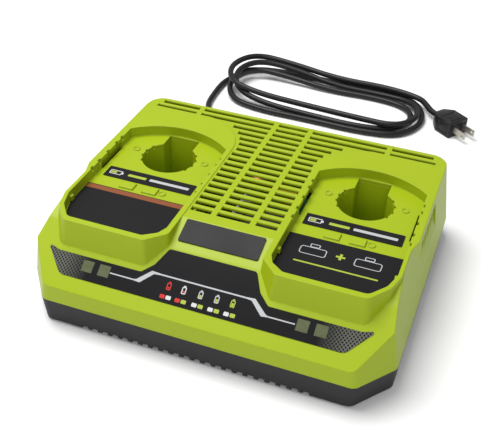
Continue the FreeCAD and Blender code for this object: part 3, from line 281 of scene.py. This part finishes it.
# Front panel film. A thin black overlay stuck on the slope, with a fine light mesh printed at
# each end that fades towards the middle.
def panel_film():
    material = bpy.data.materials.new("printed panel film")
    material.use_nodes = True
    tree = material.node_tree
    add, link = tree.nodes.new, tree.links.new
    shader = tree.nodes["Principled BSDF"]
    place = add("ShaderNodeTexCoord")
    tilt = add("ShaderNodeMapping")
    tilt.inputs["Rotation"].default_value = (0, 0, math.radians(38))
    link(place.outputs["Object"], tilt.inputs["Vector"])
    bands = []
    for direction in ("X", "Y"):
        wave = add("ShaderNodeTexWave")
        wave.wave_type = "BANDS"
        wave.bands_direction = direction
        wave.inputs["Scale"].default_value = 165.0
        wave.inputs["Distortion"].default_value = 0.0
        link(tilt.outputs["Vector"], wave.inputs["Vector"])
        bands.append(wave)
    cells = add("ShaderNodeMath")
    cells.operation = "MULTIPLY"
    link(bands[0].outputs["Fac"], cells.inputs[0])
    link(bands[1].outputs["Fac"], cells.inputs[1])
    threads = add("ShaderNodeMapRange")
    threads.inputs["From Min"].default_value = 0.10
    threads.inputs["From Max"].default_value = 0.34
    threads.inputs["To Min"].default_value = 0.55
    threads.inputs["To Max"].default_value = 0.0
    link(cells.outputs[0], threads.inputs["Value"])
    split = add("ShaderNodeSeparateXYZ")
    link(place.outputs["Object"], split.inputs["Vector"])
    outward = add("ShaderNodeMath")
    outward.operation = "ABSOLUTE"
    link(split.outputs["X"], outward.inputs[0])
    fade = add("ShaderNodeMapRange")
    fade.inputs["From Min"].default_value = 0.088
    fade.inputs["From Max"].default_value = 0.108
    link(outward.outputs[0], fade.inputs["Value"])
    mesh_print = add("ShaderNodeMath")
    mesh_print.operation = "MULTIPLY"
    link(threads.outputs["Result"], mesh_print.inputs[0])
    link(fade.outputs["Result"], mesh_print.inputs[1])
    ink = add("ShaderNodeMix")
    ink.data_type = "RGBA"
    ink.inputs["A"].default_value = (0.008, 0.008, 0.009, 1)
    ink.inputs["B"].default_value = (0.20, 0.21, 0.17, 1)
    link(mesh_print.outputs[0], ink.inputs["Factor"])
    link(ink.outputs["Result"], shader.inputs["Base Color"])
    smear = add("ShaderNodeTexNoise")
    smear.inputs["Scale"].default_value = 40.0
    link(place.outputs["Object"], smear.inputs["Vector"])
    sheen = add("ShaderNodeMapRange")
    sheen.inputs["To Min"].default_value = 0.30
    sheen.inputs["To Max"].default_value = 0.42
    link(smear.outputs["Fac"], sheen.inputs["Value"])
    link(sheen.outputs["Result"], shader.inputs["Roughness"])
    shader.inputs["Specular IOR Level"].default_value = 0.10
    return material


film = panel_film()
dress(film, "fascia_overlay")


# Printing on the front panel: a silver line that steps up over the middle, five small battery
# pictures, and under each a pair of colour chips that explain the indicator lights.
fascia_tilt = math.atan(0.67)
on_fascia = Matrix.Translation((0, -0.120, 0.036)) @ Matrix.Rotation(fascia_tilt, 4, "X")
film_top = 0.0004


def ink(name, colour, gloss=0.35):
    return plastic(name, colour, colour, gloss, grain=1200, bump=0.02, edge=0.0001, edge_highlight=0.0, cloud=0.05)


silver_ink = ink("silver print", (0.42, 0.43, 0.44))
white_ink = ink("white print", (0.55, 0.56, 0.55))
red_ink = ink("red print", (0.50, 0.02, 0.015))
lime_ink = ink("lime print", (0.33, 0.41, 0.04))
dark_ink = ink("dark print", (0.02, 0.02, 0.022))


def printed(outline, name, material, matrix, lift=0.00012):
    """A printed patch: a plane drawn out along its outline's pairs of left and right points."""
    (x0, y0), (x1, y1) = outline[0]
    bpy.ops.mesh.primitive_plane_add(size=1, location=(0, 0, 0))
    patch = bpy.context.object
    corners = [outline[0][0], outline[0][1], outline[1][0], outline[1][1]]
    for vertex in patch.data.vertices:
        near = 0 if vertex.co.x < 0 else 1
        side = 0 if vertex.co.y < 0 else 1
        x, y = corners[near * 2 + side]
        vertex.co = (x / 1000, y / 1000, film_top + lift)
    bpy.ops.object.mode_set(mode="EDIT")
    for pair in outline[2:]:
        bpy.ops.mesh.select_all(action="DESELECT")
        bpy.ops.object.mode_set(mode="OBJECT")
        last = sorted(patch.data.vertices, key=lambda v: v.index)[-2:] if len(patch.data.vertices) > 4 else None
        if last is None:
            ends = corners[2:]
            last = [v for v in patch.data.vertices
                    if any(abs(v.co.x - x / 1000) < 1e-7 and abs(v.co.y - y / 1000) < 1e-7 for x, y in ends)]
        pairs = sorted(last, key=lambda v: (v.co.y, v.co.x))
        for vertex in last:
            vertex.select = True
        bpy.ops.object.mode_set(mode="EDIT")
        bpy.ops.mesh.select_mode(type="VERT")
        bpy.ops.mesh.extrude_edges_move()
        bpy.ops.object.mode_set(mode="OBJECT")
        fresh = sorted((v for v in patch.data.vertices if v.select), key=lambda v: (v.co.y, v.co.x))
        for vertex, (x, y) in zip(fresh, sorted(pair, key=lambda p: (p[1], p[0]))):
            vertex.co = (x / 1000, y / 1000, film_top + lift)
        bpy.ops.object.mode_set(mode="EDIT")
    bpy.ops.mesh.select_all(action="SELECT")
    bpy.ops.mesh.normals_make_consistent(inside=False)
    bpy.ops.object.mode_set(mode="OBJECT")
    if sum(face.normal.z for face in patch.data.polygons) < 0:
        bpy.ops.object.mode_set(mode="EDIT")
        bpy.ops.mesh.flip_normals()
        bpy.ops.object.mode_set(mode="OBJECT")
    settle(patch, matrix)
    keep(patch, name, material)
    return patch


def rounded_patch(x, y, width, height, radius, name, material, matrix, lift=0.00012, rim=0.0):
    """A printed rectangle with round corners, or only its rim."""
    bpy.ops.mesh.primitive_plane_add(size=1, location=(x / 1000, y / 1000, film_top + lift),
                                     scale=(width / 1000, height / 1000, 1))
    patch = bpy.context.object
    bpy.ops.object.transform_apply(location=True, rotation=True, scale=True)
    for vertex in patch.data.vertices:
        vertex.co.x = (x + math.copysign(width / 2, vertex.co.x - x / 1000)) / 1000
        vertex.co.y = (y + math.copysign(height / 2, vertex.co.y - y / 1000)) / 1000
    bpy.ops.object.mode_set(mode="EDIT")
    bpy.ops.mesh.select_all(action="SELECT")
    if radius:
        bpy.ops.mesh.bevel(offset=radius / 1000, segments=5, affect="VERTICES")
    if rim:
        bpy.ops.mesh.select_all(action="SELECT")
        bpy.ops.mesh.inset(thickness=rim / 1000)
        bpy.ops.mesh.delete(type="FACE")
    bpy.ops.object.mode_set(mode="OBJECT")
    settle(patch, matrix)
    keep(patch, name, material)
    return patch


printed([((-71.0, 21.1), (-71.0, 22.0)), ((-51.4, 21.0), (-51.4, 22.0)), ((-47.0, 20.6), (-49.6, 22.8)),
         ((-38.4, 29.4), (-40.6, 31.4)), ((-33.0, 29.8), (-33.0, 30.9)), ((32.0, 29.8), (32.0, 30.9)),
         ((36.4, 29.4), (38.6, 31.4)), ((46.0, 20.4), (48.8, 22.6)), ((50.6, 20.9), (50.6, 21.9)),
         ((70.6, 21.0), (70.6, 21.9))], "panel_line", silver_ink, on_fascia)
for index, (x, body, chips) in enumerate(((-24.6, red_ink, (red_ink, white_ink)), (-12.9, white_ink, (red_ink, lime_ink)),
                                          (0.0, silver_ink, (white_ink, lime_ink)), (12.3, silver_ink, (white_ink, lime_ink)),
                                          (24.3, lime_ink, (white_ink, lime_ink)))):
    name = "indicator_key_%d" % (index + 1)
    rounded_patch(x, 23.4, 3.4, 5.4, 0.9, name + "_battery", body, on_fascia, rim=0.7)
    rounded_patch(x, 26.6, 1.7, 0.8, 0.2, name + "_terminal", body, on_fascia)
    rounded_patch(x, 22.5, 1.5, 1.1 + 0.55 * index, 0.1, name + "_charge", chips[0] if index < 2 else lime_ink, on_fascia)
    for side, chip in ((-1, chips[0]), (1, chips[1])):
        rounded_patch(x + side * 2.35, 15.4, 3.9, 2.9, 0.7, name + ("_chip_left" if side < 0 else "_chip_right"),
                      chip, on_fascia)


# Indicator windows. Small smoked panes let into the film, with clear light pipes behind them and
# the lamps on their own little boards.
def clear(name, colour, rough, transmission, alpha_ior=1.49):
    material = bpy.data.materials.new(name)
    material.use_nodes = True
    tree = material.node_tree
    shader = tree.nodes["Principled BSDF"]
    place = tree.nodes.new("ShaderNodeTexCoord")
    haze = tree.nodes.new("ShaderNodeTexNoise")
    haze.inputs["Scale"].default_value = 260.0
    haze.inputs["Detail"].default_value = 3.0
    tree.links.new(place.outputs["Object"], haze.inputs["Vector"])
    tint = tree.nodes.new("ShaderNodeMix")
    tint.data_type = "RGBA"
    tint.inputs["A"].default_value = (*colour, 1)
    tint.inputs["B"].default_value = (*[c * 1.5 for c in colour], 1)
    tree.links.new(haze.outputs["Fac"], tint.inputs["Factor"])
    tree.links.new(tint.outputs["Result"], shader.inputs["Base Color"])
    span = tree.nodes.new("ShaderNodeMapRange")
    span.inputs["To Min"].default_value = rough
    span.inputs["To Max"].default_value = rough + 0.12
    tree.links.new(haze.outputs["Fac"], span.inputs["Value"])
    tree.links.new(span.outputs["Result"], shader.inputs["Roughness"])
    shader.inputs["Transmission Weight"].default_value = transmission
    shader.inputs["IOR"].default_value = alpha_ior
    return material


dress(clear("smoked window", (0.060, 0.072, 0.030), 0.22, 0.0), "indicator_windows")
dress(clear("clear moulding", (0.72, 0.76, 0.70), 0.12, 0.7), "light_pipes", "indicator_leds")


# Name plate and stickers. The plate on the upper slope is bare gloss black. Each port has a narrow
# strip and a large label, plain satin black, with only colour bands and battery pictures on them.
label_black = plastic("label black", (0.009, 0.009, 0.010), (0.05, 0.05, 0.05), 0.45, grain=700, bump=0.03, edge=0.0002, shine=0.12)
plate_black = plastic("name plate black", (0.005, 0.005, 0.006), (0.05, 0.05, 0.055), 0.42, grain=500, bump=0.02,
                      edge=0.0004, shine=0.14)
rust_ink = ink("rust print", (0.21, 0.060, 0.018))
dress(plate_black, "name_plate")
dress(label_black, "strip_sticker_left", "strip_sticker_right", "port_sticker_left", "port_sticker_right")
port_x, label_top = 84.5, 0.0664 + 0.0004 - film_top
for name, x in (("left", -port_x), ("right", port_x)):
    on_label = Matrix.Translation((x / 1000, 0, label_top))
    rounded_patch(-30.0, -6.9, 10.5, 5.6, 0.8, "strip_battery_" + name, white_ink, on_label, rim=0.8)
    rounded_patch(-24.0, -6.9, 1.1, 2.6, 0.2, "strip_terminal_" + name, white_ink, on_label)
    rounded_patch(-31.6, -6.9, 4.6, 2.6, 0.2, "strip_charge_" + name, lime_ink, on_label)
    for bar, (left, right, paint) in enumerate(((-19, -3, lime_ink), (0, 34, silver_ink))):
        rounded_patch((left + right) / 2, -6.9, right - left, 3.2, 0.6, "strip_bar_%s_%d" % (name, bar + 1), paint,
                      on_label)


# Left label: a rust-coloured band along its top edge over plain black.
on_left = Matrix.Translation((-port_x / 1000, 0, label_top))
printed([((-42.6, -33.9), (-42.6, -28.6)), ((42.4, -33.9), (42.4, -28.6))], "label_band_left", rust_ink, on_left)


# Right label: two battery outlines with a plus sign between them, and a lime line below.
on_right = Matrix.Translation((port_x / 1000, 0, label_top))
for name, x in (("near", -20.5), ("far", 20.5)):
    rounded_patch(x, -44.0, 20.0, 9.0, 2.2, "label_battery_" + name, silver_ink, on_right, rim=0.7)
    rounded_patch(x, -37.4, 7.5, 4.0, 0.9, "label_stem_" + name, silver_ink, on_right, rim=0.7)
rounded_patch(0, -43.0, 7.0, 2.0, 0.2, "label_plus_across", lime_ink, on_right)
rounded_patch(0, -43.0, 2.0, 7.0, 0.2, "label_plus_up", lime_ink, on_right, lift=0.0002)
rounded_patch(0, -58.0, 62.0, 1.6, 0.3, "label_rule", lime_ink, on_right)


# Contacts. Bright plated spring strip in the sockets, on black glass-filled carriers.
def metal(name, colour, rough, brush=(1, 1, 1), scale=900.0, bump=0.05, edge=0.0002):
    material = bpy.data.materials.new(name)
    material.use_nodes = True
    tree = material.node_tree
    shader = tree.nodes["Principled BSDF"]
    place = tree.nodes.new("ShaderNodeTexCoord")
    stretch = tree.nodes.new("ShaderNodeMapping")
    stretch.inputs["Scale"].default_value = brush
    tree.links.new(place.outputs["Object"], stretch.inputs["Vector"])
    lines = tree.nodes.new("ShaderNodeTexNoise")
    lines.inputs["Scale"].default_value = scale
    lines.inputs["Detail"].default_value = 3.0
    tree.links.new(stretch.outputs["Vector"], lines.inputs["Vector"])
    tone = tree.nodes.new("ShaderNodeMix")
    tone.data_type = "RGBA"
    tone.inputs["A"].default_value = (*[c * 0.8 for c in colour], 1)
    tone.inputs["B"].default_value = (*[min(1.0, c * 1.12) for c in colour], 1)
    tree.links.new(lines.outputs["Fac"], tone.inputs["Factor"])
    tree.links.new(tone.outputs["Result"], shader.inputs["Base Color"])
    span = tree.nodes.new("ShaderNodeMapRange")
    span.inputs["To Min"].default_value = rough
    span.inputs["To Max"].default_value = rough + 0.2
    tree.links.new(lines.outputs["Fac"], span.inputs["Value"])
    tree.links.new(span.outputs["Result"], shader.inputs["Roughness"])
    soft = tree.nodes.new("ShaderNodeBevel")
    soft.inputs["Radius"].default_value = edge
    relief = tree.nodes.new("ShaderNodeBump")
    relief.inputs["Strength"].default_value = bump
    relief.inputs["Distance"].default_value = 0.0001
    tree.links.new(lines.outputs["Fac"], relief.inputs["Height"])
    tree.links.new(soft.outputs["Normal"], relief.inputs["Normal"])
    tree.links.new(relief.outputs["Normal"], shader.inputs["Normal"])
    shader.inputs["Metallic"].default_value = 1.0
    return material


spring_strip = metal("plated spring strip", (0.75, 0.72, 0.62), 0.22, brush=(1, 1, 12))
black_nylon = plastic("black nylon", (0.018, 0.018, 0.018), (0.07, 0.07, 0.07), 0.5, grain=1800, bump=0.1, edge=0.0004)
for side in ("left", "right"):
    dress(spring_strip, "power_leaf_%s_inner" % side, "power_leaf_%s_outer" % side, "signal_leaves_" + side)
    dress(black_nylon, "terminal_block_" + side)
dress(metal("nickel plated blade", (0.50, 0.47, 0.41), 0.32, brush=(14, 1, 1), scale=500), "plug_blades")


# Electronics under the grille: green boards with lighter tracks, sleeved cans, a taped
# transformer, ribbed aluminium heatsinks, and red leads to the ports and indicators.
def circuit_board():
    material = bpy.data.materials.new("solder mask")
    material.use_nodes = True
    tree = material.node_tree
    add, link = tree.nodes.new, tree.links.new
    shader = tree.nodes["Principled BSDF"]
    place = add("ShaderNodeTexCoord")
    tracks = add("ShaderNodeTexBrick")
    tracks.inputs["Scale"].default_value = 190.0
    tracks.inputs["Mortar Size"].default_value = 0.11
    tracks.inputs["Color1"].default_value = (0.006, 0.034, 0.013, 1)
    tracks.inputs["Color2"].default_value = (0.007, 0.042, 0.016, 1)
    tracks.inputs["Mortar"].default_value = (0.016, 0.085, 0.030, 1)
    link(place.outputs["Object"], tracks.inputs["Vector"])
    link(tracks.outputs["Color"], shader.inputs["Base Color"])
    relief = add("ShaderNodeBump")
    relief.inputs["Strength"].default_value = 0.2
    relief.inputs["Distance"].default_value = 0.0001
    link(tracks.outputs["Fac"], relief.inputs["Height"])
    link(relief.outputs["Normal"], shader.inputs["Normal"])
    smear = add("ShaderNodeTexNoise")
    smear.inputs["Scale"].default_value = 60.0
    link(place.outputs["Object"], smear.inputs["Vector"])
    span = add("ShaderNodeMapRange")
    span.inputs["To Min"].default_value = 0.25
    span.inputs["To Max"].default_value = 0.45
    link(smear.outputs["Fac"], span.inputs["Value"])
    link(span.outputs["Result"], shader.inputs["Roughness"])
    return material


dress(circuit_board(), "main_board", "indicator_boards")
dress(plastic("ferrite", (0.035, 0.035, 0.038), (0.10, 0.10, 0.10), 0.6, grain=2600, bump=0.3), "transformer_core")
dress(plastic("winding tape", (0.55, 0.38, 0.04), (0.7, 0.55, 0.15), 0.35, grain=300, bump=0.1), "transformer_coil")
dress(metal("enamelled copper", (0.62, 0.24, 0.09), 0.25, brush=(1, 20, 20), scale=160, bump=0.4), "filter_choke")
dress(plastic("boxed capacitor", (0.50, 0.36, 0.03), (0.7, 0.55, 0.15), 0.3, grain=900), "filter_capacitor")
dress(plastic("can sleeve", (0.012, 0.018, 0.06), (0.3, 0.3, 0.32), 0.25, grain=500, shine=0.5), "bulk_capacitors",
      "output_capacitors")
dress(black_nylon, "bridge_rectifier", "power_devices", "cord_clamp")
dress(metal("extruded aluminium", (0.62, 0.63, 0.65), 0.35, brush=(20, 20, 1)), "primary_heatsink", "secondary_heatsink")
dress(clear("fuse glass", (0.80, 0.82, 0.80), 0.05, 0.8), "mains_fuse")
dress(plastic("cream nylon", (0.66, 0.63, 0.52), (0.8, 0.78, 0.7), 0.45, grain=1500), "mains_connector",
      "output_connectors")
dress(plastic("red insulation", (0.42, 0.015, 0.012), (0.6, 0.1, 0.08), 0.35, grain=800), "port_leads_left",
      "port_leads_right", "indicator_leads")


# Fixings and feet: zinc plated screws in their wells, and four soft rubber feet.
dress(metal("zinc plate", (0.50, 0.51, 0.53), 0.3, scale=600), "housing_screws", "board_screws", "clamp_screws")
dress(plastic("foot rubber", (0.02, 0.02, 0.02), (0.05, 0.05, 0.05), 0.75, grain=1200, bump=0.25), "rubber_feet")


# Studio: a plain white bench, a broad soft light above and in front, and a pale surround.
bpy.ops.mesh.primitive_plane_add(size=8, location=(0, 0, -0.0002))
bench = bpy.context.object
bench.name = "bench"
bench_paint = bpy.data.materials.new("bench")
bench_paint.use_nodes = True
bench_paint.node_tree.nodes["Principled BSDF"].inputs["Base Color"].default_value = (0.86, 0.86, 0.86, 1)
bench_paint.node_tree.nodes["Principled BSDF"].inputs["Roughness"].default_value = 0.9
bench.data.materials.append(bench_paint)


def soft_light(name, place, aim, size, power):
    bpy.ops.object.light_add(type="AREA", location=place)
    light = bpy.context.object
    light.name = name
    light.data.shape = "DISK"
    light.data.size = size
    light.data.energy = power
    light.rotation_mode = "QUATERNION"
    light.rotation_quaternion = (Vector(aim) - Vector(place)).to_track_quat("-Z", "Y")


soft_light("overhead", (-0.45, 0.10, 1.4), (0, 0.05, 0), 1.0, 24.0)
soft_light("front", (0.25, -1.5, 0.75), (0, 0, 0.03), 0.9, 7.0)
world = bpy.data.worlds.new("pale room")
bpy.context.scene.world = world
world.use_nodes = True
world.node_tree.nodes["Background"].inputs["Color"].default_value = (1.0, 1.0, 1.0, 1)
world.node_tree.nodes["Background"].inputs["Strength"].default_value = 0.45
